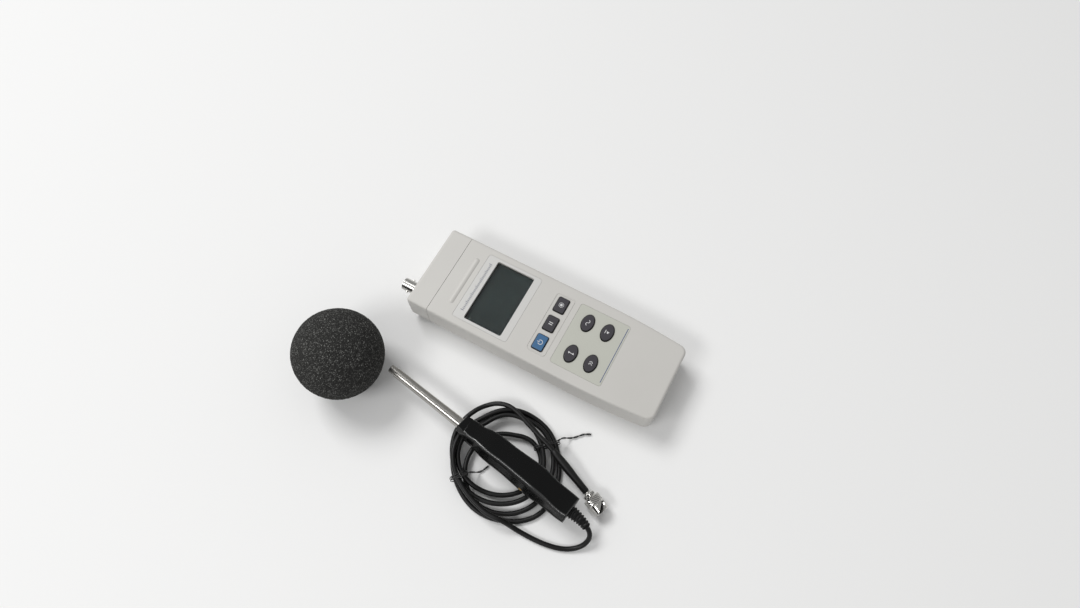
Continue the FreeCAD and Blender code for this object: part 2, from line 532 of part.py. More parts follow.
grid = fused(cyl(TUBE_BORE, (0, TUBE_REACH - 2.0, 0), (0, 1, 0), 3.0),
             cyl(GRID_R, (0, TUBE_REACH, 0), (0, 1, 0), GRID_REACH))
grid = grid.cut(cyl(TUBE_BORE - 0.6, (0, TUBE_REACH - 3, 0), (0, 1, 0), GRID_REACH + 2.4))
for i in range(-2, 3):
    reach = math.sqrt(2.1 ** 2 - (0.9 * i) ** 2)
    grid = grid.cut(box(0.9 * i - 0.22, 0.9 * i + 0.22, TUBE_REACH + 3, TUBE_REACH + 9,
                        -reach, reach))
pieces["mic_grid"] = grid
relief = fused(cone(RELIEF_R0, RELIEF_R1, (0, -HANDLE_LENGTH, 0), (0, -1, 0), RELIEF_LENGTH),
               cyl(RELIEF_NECK, (0, -HANDLE_LENGTH - 0.5, 0), (0, 1, 0), 8),
               cyl(RELIEF_HEAD, (0, -90.5, 0), (0, 1, 0), 2.0))
for i in range(5):
    y = -HANDLE_LENGTH - 1.2 - 1.9 * i
    relief = relief.cut(ring(9, RELIEF_R0 - 0.7 - 0.2 * i, (0, y - 0.9, 0), (0, 1, 0), 0.9))
relief = relief.common(box(-4.6, 4.6, -120, -80, -4.6, 4.6))
relief = relief.cut(cyl(CORD_R, (0, -120, 0), (0, 1, 0), 60))
pieces["strain_relief"] = relief

# The handle rests on the coil: its lowest edge is found from the section and the lean.
roll = math.radians(PROBE_ROLL)
depth, half = max(h for s, h in SIDE_LOW), max(w for s, w in PLAN)
keel = half - DRAFT_LOW * depth / DRAFT_RISE
PROBE_Z = COIL_TOP + 0.3 + max(depth * math.cos(roll) + keel * math.sin(roll),
                               half * math.sin(roll))
place = FreeCAD.Placement(V(PROBE_X, PROBE_Y, PROBE_Z), FreeCAD.Rotation(UP, PROBE_HEADING - 90))
place = place.multiply(FreeCAD.Placement(V(0, 0, 0), FreeCAD.Rotation(ALONG_Y, PROBE_ROLL)))
for node, shape in pieces.items():
    shapes = shape if isinstance(shape, list) else [shape]
    moved = [s.copy() for s in shapes]
    for s in moved:
        s.Placement = place.multiply(s.Placement)
    save(node, moved if len(moved) > 1 else moved[0])

# ---- coil of cord, its two ties -----------------------------------------------------------------
coil_out, coil_in = COIL_MID + COIL_W / 2, COIL_MID - COIL_W / 2
coil = ring(coil_out, coil_in, (COIL_X, COIL_Y, COIL_Z0), (0, 0, 1), COIL_H)
coil = coil.makeFillet(2.6, [e for e in coil.Edges if e.Curve.TypeId == "Part::GeomCircle"])


def tie(angle):
    """A flat band once round the bundle, at this angle of the coil."""
    band = box(coil_in - TIE_T - 0.05, coil_out + TIE_T + 0.05, -TIE_W / 2, TIE_W / 2, 0.0,
               COIL_TOP + TIE_T + 0.05)
    band = band.cut(box(coil_in - 0.05, coil_out + 0.15, -TIE_W, TIE_W, TIE_T, COIL_TOP + 0.05))
    band.rotate(V(0, 0, 0), UP, angle)
    band.translate(V(COIL_X, COIL_Y, 0))
    return band


save("cable_tie", [tie(143.0), tie(-47.0)])

# ---- cord from the handle to the coil, and from the coil through the boot to the plug ---------------
radii = []


def along_probe(s):
    return place.multVec(V(0, -s, 0))


exit_at, exit_to = along_probe(90.5), along_probe(HANDLE_LENGTH + RELIEF_LENGTH + 11.5)
low = CORD_R
exit_route = [tuple(exit_at), tuple(exit_to), (-133.5, -99.8, 7.0), (-137.5, -78.0, low),
              (-138.0, -52.0, low), (-136.5, -26.0, low), (-129.0, -7.0, low + 0.6)]
cord_exit = swept(exit_route, CORD_R, radii)
save("cord_exit", cord_exit.cut(coil))

plug_dir = V(PLUG_HEADING[0], PLUG_HEADING[1], 0)
plug_dir.normalize()
boot_z, mouth_z = COIL_TOP + BOOT_R + 0.35, RING_R + 0.05
plug_dir = V(plug_dir.x, plug_dir.y, (mouth_z - boot_z) / PLUG_LENGTH)
plug_dir.normalize()
q0 = V(PLUG_X, PLUG_Y, boot_z)


def on_plug(w):
    return q0 + plug_dir * w


def plug_cyl(r, w0, w1):
    return Part.makeCylinder(r, w1 - w0, on_plug(w0), plug_dir)


above = COIL_TOP + CORD_R + 0.3
lead_route = [(-103.0, 14.5, COIL_TOP - 1.4), (-86.0, 16.5, above), (-68.0, 8.5, above),
              (-62.5, -10.0, above), (-67.0, -28.0, above + 0.4), tuple(on_plug(-6.0)),
              tuple(on_plug(35.0))]
cord_lead = swept(lead_route, CORD_R, radii)
save("cord_lead", cord_lead)
save("cord_coil", coil.cut(cord_exit).cut(cord_lead))
print("bend radii", [round(r, 1) for r in radii])

save("plug_boot", plug_cyl(BOOT_R, 0, BOOT_LENGTH).cut(plug_cyl(CORD_R, -1, BOOT_LENGTH + 1)))
shell_in, nose_in = 3.55, 3.0
w0 = PLUG_LENGTH - 21.0          # rear of the metal plug
plug = fused(plug_cyl(3.4, w0, w0 + 8.0), plug_cyl(4.3, w0 + 6.5, w0 + 10.3),
             plug_cyl(shell_in, w0 + 10.0, w0 + 20.4))
plug = plug.cut(plug_cyl(CORD_R, w0 - 1, w0 + 2.0)).cut(plug_cyl(nose_in, w0 + 11.0, w0 + 22))
save("plug_body", plug)
save("plug_insulator", plug_cyl(nose_in, w0 + 11.0, w0 + 13.6).fuse(
     plug_cyl(1.4, w0 + 13.5, w0 + 14.8)).cut(plug_cyl(0.68, w0 + 10.9, w0 + 15.5)))
save("plug_pin", plug_cyl(0.68, w0 + 11.0, w0 + 16.6).fuse(plug_cyl(0.45, w0 + 16.5, w0 + 18.6)))
coupling = plug_cyl(RING_R, w0 + 10.5, PLUG_LENGTH).cut(
    plug_cyl(RING_BORE, w0 + 12.4, PLUG_LENGTH + 1))
coupling = coupling.cut(plug_cyl(shell_in + 0.05, w0 + 10.0, w0 + 13.0))
for i in range(18):
    a = math.radians(20 * i)
    u = plug_dir.cross(UP)
    u.normalize()
    v = u.cross(plug_dir)
    c = on_plug(w0 + 11.4) + (u * math.cos(a) + v * math.sin(a)) * (RING_R + 0.2)
    coupling = coupling.cut(Part.makeCylinder(0.42, 4.8, c, plug_dir))
save("plug_ring", coupling)

# ---- foam windscreen -----------------------------------------------------------------------------------
ball_at = V(BALL_X, BALL_Y, BALL_R)
bore_dir = V(0.12, 0.93, -0.34)
bore_dir.normalize()
ball = Part.makeSphere(BALL_R, ball_at, bore_dir)
mouth = ball_at + bore_dir * (BALL_R + 2)
ball = ball.cut(Part.makeCylinder(BALL_BORE, BALL_DEPTH + 2, mouth, bore_dir * -1))
save("windscreen", ball)
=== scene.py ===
import math

import bmesh
import bpy
from bpy.props import FloatProperty, FloatVectorProperty, PointerProperty
from mathutils import Euler, Matrix, Vector, noise
from mathutils.bvhtree import BVHTree


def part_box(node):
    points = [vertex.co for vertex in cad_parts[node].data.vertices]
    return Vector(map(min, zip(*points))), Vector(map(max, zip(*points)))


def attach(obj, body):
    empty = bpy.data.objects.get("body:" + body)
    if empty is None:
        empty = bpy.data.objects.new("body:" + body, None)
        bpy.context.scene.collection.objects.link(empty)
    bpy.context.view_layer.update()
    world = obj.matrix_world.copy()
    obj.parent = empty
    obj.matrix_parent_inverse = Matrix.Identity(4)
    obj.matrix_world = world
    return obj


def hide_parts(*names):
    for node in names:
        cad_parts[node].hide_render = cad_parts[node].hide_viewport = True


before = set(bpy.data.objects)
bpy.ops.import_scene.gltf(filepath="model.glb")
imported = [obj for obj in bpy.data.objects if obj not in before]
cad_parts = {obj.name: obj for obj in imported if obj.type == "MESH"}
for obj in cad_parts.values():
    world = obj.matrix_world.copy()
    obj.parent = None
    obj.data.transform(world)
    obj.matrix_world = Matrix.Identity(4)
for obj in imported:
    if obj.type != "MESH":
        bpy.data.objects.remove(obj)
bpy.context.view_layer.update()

# A sound level meter lying on its back, with its microphone probe on a coiled cord
# and its foam windscreen beside it. All lengths are metres, in the meter's own frame.

bl_info = {
    "name": "Sound level meter",
    "version": (1, 0, 0),
    "blender": (4, 5, 0),
    "location": "3D View > Sidebar > Meter",
    "description": "Finishes, cord, ties, plug and foam ball of a sound level meter",
    "category": "Object",
}


def colour(name, default, description):
    """A colour property with three channels."""
    return FloatVectorProperty(name=name, default=default, description=description,
                               subtype="COLOR", size=3, min=0.0, max=1.0)


def length(name, default, description):
    """A length property in metres."""
    return FloatProperty(name=name, default=default, description=description,
                         unit="LENGTH", min=0.0, precision=5)


class MeterColours(bpy.types.PropertyGroup):
    """Colours of the meter, its probe and its windscreen."""

    housing: colour("Housing", (0.560, 0.548, 0.520), "Moulded housing and end cap")
    display_film: colour("Display film", (0.585, 0.580, 0.562), "Film round the display")
    keypad_film: colour("Keypad film", (0.500, 0.505, 0.450), "Film round the oval keys")
    print_blue: colour("Ruled line", (0.050, 0.075, 0.200), "Printed line on the keypad film")
    display: colour("Display", (0.022, 0.038, 0.038), "Display that is switched off")
    key: colour("Keys", (0.046, 0.043, 0.050), "Dark keys")
    power_key: colour("Power key", (0.042, 0.130, 0.265), "Blue key")
    legend: colour("Key symbols", (0.640, 0.640, 0.640), "Printed symbols on the keys")
    handle: colour("Handle", (0.004, 0.0042, 0.0042), "Probe handle")
    cord: colour("Cord", (0.006, 0.006, 0.006), "Cord sleeve, boot and relief")
    foam: colour("Windscreen", (0.043, 0.043, 0.041), "Open-cell foam")
    steel: colour("Steel", (0.420, 0.408, 0.385), "Microphone tube and screws")
    nickel: colour("Nickel", (0.600, 0.590, 0.565), "Plated plug and socket")
    brass: colour("Brass", (0.620, 0.430, 0.180), "Trimmer, insert and contacts")
    floor: colour("Floor", (0.860, 0.860, 0.855), "Plain floor")


class MeterSizes(bpy.types.PropertyGroup):
    """Sizes of the pieces that are modelled here."""

    cord_diameter: length("Cord diameter", 0.0035, "Outside of the cord")
    tie_wire: length("Tie wire", 0.0007, "Diameter of the wire in a tie")
    foam_pore: length("Foam pore", 0.0012, "Size of the cells of the foam")
    grain: length("Plastic grain", 0.0004, "Size of the texture of the housing")


def colours():
    return bpy.context.scene.meter_colours


def sizes():
    return bpy.context.scene.meter_sizes


# ---- node groups: the effects that several finishes share ---------------------------

def new_group(name, inputs, outputs):
    """An empty node group with float or vector sockets; returns it and its ends."""
    tree = bpy.data.node_groups.new(name, "ShaderNodeTree")
    for label, kind in inputs:
        tree.interface.new_socket(name=label, in_out="INPUT", socket_type=kind)
    for label, kind in outputs:
        tree.interface.new_socket(name=label, in_out="OUTPUT", socket_type=kind)
    return tree, tree.nodes.new("NodeGroupInput"), tree.nodes.new("NodeGroupOutput")


def put(tree, kind, **settings):
    """A node with its settings; socket values are given as in_NAME or in_NUMBER."""
    node = tree.nodes.new(kind)
    for key, value in settings.items():
        if key.startswith("in_"):
            socket = key[3:].replace("_", " ")
            node.inputs[int(socket) if socket.isdigit() else socket].default_value = value
        else:
            setattr(node, key, value)
    return node


def grain_group():
    """Fine moulded texture, with broad soft shading over it."""
    tree, first, last = new_group(
        "Moulded grain", [("Grain", "NodeSocketFloat"), ("Cloud", "NodeSocketFloat")],
        [("Height", "NodeSocketFloat"), ("Shade", "NodeSocketFloat"),
         ("Rub", "NodeSocketFloat")])
    place = put(tree, "ShaderNodeTexCoord")
    fine = put(tree, "ShaderNodeTexNoise", in_Detail=3.0, in_Roughness=0.6)
    cloud = put(tree, "ShaderNodeTexNoise", in_Detail=4.0, in_Roughness=0.55)
    rub = put(tree, "ShaderNodeTexNoise", in_Scale=900.0, in_Detail=5.0, in_Roughness=0.75)
    join = tree.links.new
    for node in (fine, cloud, rub):
        join(place.outputs["Object"], node.inputs["Vector"])
    join(first.outputs["Grain"], fine.inputs["Scale"])
    join(first.outputs["Cloud"], cloud.inputs["Scale"])
    join(fine.outputs["Fac"], last.inputs["Height"])
    join(cloud.outputs["Fac"], last.inputs["Shade"])
    join(rub.outputs["Fac"], last.inputs["Rub"])
    return tree


def drawn_group():
    """Fine lines left along a drawn tube or round a turned part, along the vector's Z."""
    tree, first, last = new_group(
        "Drawn lines", [("Vector", "NodeSocketVector"), ("Across", "NodeSocketFloat")],
        [("Height", "NodeSocketFloat"), ("Shade", "NodeSocketFloat")])
    squeeze = put(tree, "ShaderNodeVectorMath", operation="MULTIPLY")
    squeeze.inputs[1].default_value = (1.0, 1.0, 0.02)
    lines = put(tree, "ShaderNodeTexNoise", in_Detail=4.0, in_Roughness=0.6)
    cloud = put(tree, "ShaderNodeTexNoise", in_Scale=160.0, in_Detail=3.0)
    join = tree.links.new
    join(first.outputs["Vector"], squeeze.inputs[0])
    join(squeeze.outputs[0], lines.inputs["Vector"])
    join(first.outputs["Vector"], cloud.inputs["Vector"])
    join(first.outputs["Across"], lines.inputs["Scale"])
    join(lines.outputs["Fac"], last.inputs["Height"])
    join(cloud.outputs["Fac"], last.inputs["Shade"])
    return tree


def cell_group():
    """Open cells of a foam: pore depth, and painted glints, bright specks where a strand would
    catch light.
    """
    tree, first, last = new_group(
        "Foam cells", [("Cells", "NodeSocketFloat")],
        [("Depth", "NodeSocketFloat"), ("Glints", "NodeSocketFloat")])
    place = put(tree, "ShaderNodeTexCoord")
    warp = put(tree, "ShaderNodeTexNoise", in_Scale=700.0, in_Detail=2.0)
    shift = put(tree, "ShaderNodeVectorMath", operation="MULTIPLY_ADD")
    shift.inputs[1].default_value = (0.0009, 0.0009, 0.0009)
    cells = put(tree, "ShaderNodeTexVoronoi", feature="SMOOTH_F1", in_Smoothness=0.35)
    glints = put(tree, "ShaderNodeTexVoronoi", in_Scale=1900.0)
    lift = put(tree, "ShaderNodeMapRange", in_1=0.70, in_2=0.92, in_3=0.3, in_4=0.7)
    join = tree.links.new
    for node in (warp, glints):
        join(place.outputs["Object"], node.inputs["Vector"])
    join(warp.outputs["Color"], shift.inputs[0])
    join(place.outputs["Object"], shift.inputs[2])
    join(shift.outputs[0], cells.inputs["Vector"])
    join(first.outputs["Cells"], cells.inputs["Scale"])
    join(cells.outputs["Distance"], last.inputs["Depth"])
    join(glints.outputs["Color"], lift.inputs["Value"])
    join(lift.outputs["Result"], last.inputs["Glints"])
    return tree


def effect(name):
    """The named group, made when it is first asked for."""
    makers = {"Moulded grain": grain_group, "Drawn lines": drawn_group, "Foam cells": cell_group}
    return bpy.data.node_groups.get(name) or makers[name]()


class Finish:
    """One material: a Principled shader and the nodes that vary it."""

    def __init__(self, name, rough, metallic=0.0, **shader):
        self.material = bpy.data.materials.new(name)
        self.material.use_nodes = True
        self.tree = self.material.node_tree
        self.shader = self.tree.nodes["Principled BSDF"]
        self.shader.inputs["Roughness"].default_value = rough
        self.shader.inputs["Metallic"].default_value = metallic
        for key, value in shader.items():
            self.shader.inputs[key.replace("_", " ")].default_value = value

    def group(self, name, **values):
        node = put(self.tree, "ShaderNodeGroup", node_tree=effect(name))
        for key, value in values.items():
            node.inputs[key].default_value = value
        return node

    def spread(self, value, low, high, out_low=0.0, out_high=1.0):
        node = put(self.tree, "ShaderNodeMapRange", in_1=low, in_2=high, in_3=out_low,
                   in_4=out_high)
        self.tree.links.new(value, node.inputs["Value"])
        return node.outputs["Result"]

    def paint(self, mask, dark, light):
        """Base colour between two colours, by a mask that runs from 0.3 to 0.7."""
        mix = put(self.tree, "ShaderNodeMix", data_type="RGBA")
        mix.inputs["A"].default_value = (*dark, 1.0)
        mix.inputs["B"].default_value = (*light, 1.0)
        self.tree.links.new(self.spread(mask, 0.3, 0.7), mix.inputs["Factor"])
        self.tree.links.new(mix.outputs["Result"], self.shader.inputs["Base Color"])
        return mix

    def polish(self, mask, smooth, rough):
        self.tree.links.new(self.spread(mask, 0.3, 0.7, smooth, rough),
                            self.shader.inputs["Roughness"])

    def bump(self, height, depth, strength=1.0):
        node = put(self.tree, "ShaderNodeBump", in_Strength=strength, in_Distance=depth)
        self.tree.links.new(height, node.inputs["Height"])
        self.tree.links.new(node.outputs["Normal"], self.shader.inputs["Normal"])

    def cover(self, mix, mask, rgb):
        """Another colour over the base colour, where a mask is 1."""
        over = put(self.tree, "ShaderNodeMix", data_type="RGBA")
        over.inputs["B"].default_value = (*rgb, 1.0)
        join = self.tree.links.new
        join(mask, over.inputs["Factor"])
        join(mix.outputs["Result"], over.inputs["A"])
        join(over.outputs["Result"], self.shader.inputs["Base Color"])

    def rim_shade(self, mix, rgb):
        """Painted shade: a darker colour where the surface leaves the piece's own upward
        direction, for the shadow round a key's rim.
        """
        place = put(self.tree, "ShaderNodeTexCoord")
        turn = put(self.tree, "ShaderNodeVectorMath", operation="DOT_PRODUCT")
        turn.inputs[1].default_value = (0.0, 0.0, 1.0)
        self.tree.links.new(place.outputs["Normal"], turn.inputs[0])
        self.cover(mix, self.spread(turn.outputs["Value"], 0.985, 0.94), rgb)

    def groove_shade(self, mix, rgb):
        """Painted shade: a darker colour where the piece's own Deep attribute says it is sunk, for
        the shadow in grooves and slots.
        """
        deep = put(self.tree, "ShaderNodeAttribute", attribute_name="Deep")
        self.cover(mix, self.spread(deep.outputs["Fac"], 0.35, 1.0), rgb)


def scaled(rgb, k):
    return tuple(min(1.0, c * k) for c in rgb)


def plastic(name, rgb, rough, grain=2500.0, depth=0.00002, vary=0.035, cloud=35.0,
            rim_shade=None, **shader):
    """Moulded plastic or rubber: grain, soft mottling and slightly uneven gloss."""
    f = Finish(name, rough, **shader)
    g = f.group("Moulded grain", Grain=grain, Cloud=cloud)
    mix = f.paint(g.outputs["Shade"], scaled(rgb, 1 - vary), scaled(rgb, 1 + vary))
    # An optional darker colour on the flanks is painted shade.
    if rim_shade:
        f.rim_shade(mix, rim_shade)
    f.polish(g.outputs["Rub"], rough - 0.05, rough + 0.07)
    f.bump(g.outputs["Height"], depth)
    return f.material


def metal(name, rgb, rough, turn=(0.0, 0.0, 0.0), across=2500.0, depth=0.000004, vary=0.06,
          groove_shade=None):
    """Bare or plated metal with fine lines along one direction."""
    f = Finish(name, rough, metallic=1.0)
    place = put(f.tree, "ShaderNodeTexCoord")
    turned = put(f.tree, "ShaderNodeMapping", vector_type="POINT")
    turned.inputs["Rotation"].default_value = turn
    g = f.group("Drawn lines", Across=across)
    f.tree.links.new(place.outputs["Object"], turned.inputs["Vector"])
    f.tree.links.new(turned.outputs["Vector"], g.inputs["Vector"])
    mix = f.paint(g.outputs["Shade"], scaled(rgb, 1 - vary), scaled(rgb, 1 + vary))
    # An optional darker colour in sunk grooves is painted shade.
    if groove_shade:
        f.groove_shade(mix, groove_shade)
    f.polish(g.outputs["Height"], rough - 0.05, rough + 0.09)
    f.bump(g.outputs["Height"], depth)
    return f.material


def clear(name, rgb, rough=0.03):
    """Clear window."""
    f = Finish(name, rough, Transmission_Weight=1.0, IOR=1.45)
    g = f.group("Moulded grain", Grain=600.0, Cloud=40.0)
    f.paint(g.outputs["Shade"], scaled(rgb, 0.98), rgb)
    f.polish(g.outputs["Rub"], rough - 0.02, rough + 0.04)
    return f.material


def dress(material, *nodes):
    """Gives CAD nodes a material."""
    for name in nodes:
        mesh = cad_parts[name].data
        mesh.materials.clear()
        mesh.materials.append(material)


# ---- pieces -----------------------------------------------------------------------

def finish_mesh(bm, name, body, material, angle=35.0, replaces=()):
    """Turns a bmesh into a piece that rides on a body."""
    bmesh.ops.remove_doubles(bm, verts=bm.verts, dist=1e-7)
    bmesh.ops.recalc_face_normals(bm, faces=bm.faces)
    mesh = bpy.data.meshes.new(name)
    bm.to_mesh(mesh)
    bm.free()
    mesh.shade_smooth()
    mesh.set_sharp_from_angle(angle=math.radians(angle))
    mesh.materials.append(material)
    piece = bpy.data.objects.new(name, mesh)
    bpy.context.scene.collection.objects.link(piece)
    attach(piece, body)
    if replaces:
        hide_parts(*replaces)
    return piece


def tube_mesh(bm, points, radius, sides=10):
    """Adds a round wire along points to a bmesh, closed at both ends."""
    data = bpy.data.curves.new("wire", "CURVE")
    data.dimensions = "3D"
    line = data.splines.new("NURBS")
    line.points.add(len(points) - 1)
    for p, q in zip(line.points, points):
        p.co = (*q, 1.0)
    line.order_u = 3
    line.use_endpoint_u = True
    data.bevel_depth = radius
    data.bevel_resolution = sides // 4
    data.use_fill_caps = True
    data.resolution_u = 4
    holder = bpy.data.objects.new("wire", data)
    bpy.context.scene.collection.objects.link(holder)
    graph = bpy.context.evaluated_depsgraph_get()
    mesh = bpy.data.meshes.new_from_object(holder.evaluated_get(graph))
    bm.from_mesh(mesh)
    bpy.data.objects.remove(holder)
    bpy.data.curves.remove(data)
    bpy.data.meshes.remove(mesh)


PROBE = (Matrix.Translation((-0.0929, 0.0178, 0.018001))
         @ Matrix.Rotation(math.radians(80.6 - 90.0), 4, "Z")
         @ Matrix.Rotation(math.radians(20.0), 4, "Y"))
PLUG_START = Vector((-0.0765, -0.0460, 0.0104))
PLUG_WAY = Vector((-0.3765, -0.9233, -0.0766)).normalized()
COIL = Vector((-0.097, -0.018, 0.0))


def on_plug(w):
    return PLUG_START + PLUG_WAY * w


def smooth(low, high, x):
    t = min(1.0, max(0.0, (x - low) / (high - low)))
    return t * t * (3 - 2 * t)


# Distance of the cord from the middle of the coil, in millimetres, every 30 degrees clockwise
# from 210 degrees: the stretch that comes in from the handle, then each turn.
TURNS = ((44.6, 37.6),
         (34.8, 35.4, 34.6, 31.2, 33.3, 35.7, 38.1, 39.6, 43.5, 47.2, 43.8, 40.8),
         (37.4, 36.6, 35.6, 32.4, 33.3, 32.2, 34.6, 35.9, 37.5, 40.0, 39.5, 37.0),
         (31.0, 25.6, 21.0, 18.0, 16.8, 17.8, 23.0, 26.8, 27.8, 27.4, 26.7, 27.4),
         (30.2, 32.3, 31.6, 27.0, 30.0, 30.6, 28.6, 28.8, 31.0, 33.2, 33.1, 33.6),
         (34.8, 36.0, 38.9, 39.2))
STEP = 5                    # degrees between two samples
OVER = 39                   # this many samples from the handle are laid last, over the others


def coil_samples():
    """Middle of the cord round the coil, its height on the floor."""
    radii = [r / 1000 for turn in TURNS for r in turn]
    fine = 30 // STEP
    spots = []
    for i in range((len(radii) - 1) * fine + 1):
        j, part = divmod(i, fine)
        t = part / fine
        a, b, c, d = (radii[min(max(j + n, 0), len(radii) - 1)] for n in (-1, 0, 1, 2))
        r = b + 0.5 * t * (c - a + t * (2 * a - 5 * b + 4 * c - d + t * (3 * (b - c) + d - a)))
        angle = math.radians(210 - STEP * i)
        spots.append(COIL + Vector((math.cos(angle) * r, math.sin(angle) * r,
                                    sizes().cord_diameter / 2)))
    return spots


def coil_points():
    """The samples, each laid on the cord that is already below it, with long low humps."""
    d = sizes().cord_diameter
    spots = coil_samples()
    laid = []
    for i in [*range(OVER, len(spots)), *reversed(range(OVER))]:
        here = spots[i]
        for k in laid:
            flat = (spots[k].xy - here.xy).length
            if abs(k - i) > 20 and flat < d:
                here.z = max(here.z, spots[k].z + math.sqrt(d * d - flat * flat))
        laid.append(i)
        for k in range(max(0, i - 8), min(len(spots), i + 9)):
            near = 1.0 - smooth(1.0, 8.0, abs(k - i))
            spots[k].z = max(spots[k].z, d / 2 + (here.z - d / 2) * near)
    return spots[::3]


def cord_points():
    """Control points of the whole cord: out of the handle, round the coil, into the plug."""
    out = [PROBE @ Vector((0, -0.092, 0)), PROBE @ Vector((0, -0.101, 0)),
           Vector((-0.1112, -0.0895, 0.0168)), Vector((-0.1140, -0.0958, 0.0125)),
           Vector((-0.1188, -0.0972, 0.0072)), Vector((-0.1246, -0.0942, 0.0032)),
           Vector((-0.1296, -0.0880, 0.00175)), Vector((-0.1330, -0.0800, 0.00175)),
           Vector((-0.1350, -0.0690, 0.00175)), Vector((-0.1356, -0.0580, 0.0019)),
           Vector((-0.1356, -0.0480, 0.0032))]
    lead = [Vector((-0.0712, 0.0118, 0.0068)), Vector((-0.0658, 0.0052, 0.0086)),
            Vector((-0.0634, -0.0029, 0.0097)), Vector((-0.0643, -0.0105, 0.0102)),
            Vector((-0.0677, -0.0201, 0.0104)), Vector((-0.0729, -0.0350, 0.0106)),
            on_plug(-0.004), on_plug(0.012), on_plug(0.0345)]
    return out + coil_points() + lead


def cord_line(points):
    """The cord's own spline, as a curve with no thickness."""
    data = bpy.data.curves.new("cord", "CURVE")
    data.dimensions = "3D"
    line = data.splines.new("NURBS")
    line.points.add(len(points) - 1)
    for p, q in zip(line.points, points):
        p.co = (*q, 1.0)
    line.order_u = 3
    line.use_endpoint_u = True
    data.resolution_u = 8
    return data


def route(data):
    """Points read along a curve that has no thickness."""
    holder = bpy.data.objects.new("route", data)
    bpy.context.scene.collection.objects.link(holder)
    graph = bpy.context.evaluated_depsgraph_get()
    mesh = bpy.data.meshes.new_from_object(holder.evaluated_get(graph))
    line = [v.co.copy() for v in mesh.vertices]
    bpy.data.objects.remove(holder)
    bpy.data.meshes.remove(mesh)
    return line


class METER_OT_housing(bpy.types.Operator):
    """Finish the moulded housing, its end cap, battery door, screws and tripod insert"""

    bl_idname = "meter.housing"
    bl_label = "Housing"

    def execute(self, context):
        c = colours()
        shell = plastic("Housing", c.housing, 0.44, grain=1.0 / sizes().grain, depth=0.000018,
                        vary=0.02, cloud=22.0)
        dress(shell, "front_cover", "rear_cover", "end_cap", "battery_door")
        dress(metal("Zinc screws", scaled(c.steel, 0.85), 0.34), "case_screw", "board_screw",
              "handle_screw")
        dress(metal("Brass insert", c.brass, 0.30), "tripod_insert")
        return {"FINISHED"}


class METER_OT_display(bpy.types.Operator):
    """Finish the films, the window, the display behind it and its holder"""

    bl_idname = "meter.display"
    bl_label = "Display and films"

    def execute(self, context):
        c = colours()
        dress(plastic("Display film", c.display_film, 0.36, grain=1600.0, depth=0.000006,
                      vary=0.012), "display_label")
        dress(plastic("Keypad film", c.keypad_film, 0.36, grain=1600.0, depth=0.000006,
                      vary=0.015), "keypad_label")
        dress(clear("Window", (0.93, 0.95, 0.94)), "display_window")
        dress(plastic("Display", c.display, 0.30, grain=900.0, depth=0.0, vary=0.05, cloud=60.0,
                      Specular_IOR_Level=0.15), "lcd_panel")
        dress(plastic("Display holder", (0.02, 0.02, 0.02), 0.5), "lcd_holder")
        dress(plastic("Contact strip", (0.30, 0.16, 0.16), 0.6), "zebra_strip")
        self.ruled_line()
        self.scale_ticks()
        return {"FINISHED"}

    def ruled_line(self):
        """The thin printed line along the lower edge of the keypad film."""
        low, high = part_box("keypad_label")
        bm = bmesh.new()
        bmesh.ops.create_cube(bm, size=1.0, matrix=Matrix.Translation(
            (0.0004, low.y + 0.0012, high.z + 0.00001))
            @ Matrix.Diagonal((0.0460, 0.0005, 0.00004, 1.0)))
        ink = plastic("Line ink", colours().print_blue, 0.4, depth=0.000002)
        finish_mesh(bm, "ruled_line", "housing", ink)

    def scale_ticks(self):
        """A plain row of scale marks on the film, beside the display."""
        low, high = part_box("display_label")
        bm = bmesh.new()
        for i in range(31):
            tall = 0.0025 if i % 5 == 0 else 0.0016
            bmesh.ops.create_cube(bm, size=1.0, matrix=Matrix.Translation(
                ((i - 15) * 0.0014, high.y - 0.0058 + tall / 2, high.z + 0.00001))
                @ Matrix.Diagonal((0.00050, tall, 0.00004, 1.0)))
        ink = plastic("Scale ink", (0.060, 0.070, 0.130), 0.4, depth=0.000002)
        finish_mesh(bm, "scale_ticks", "housing", ink)


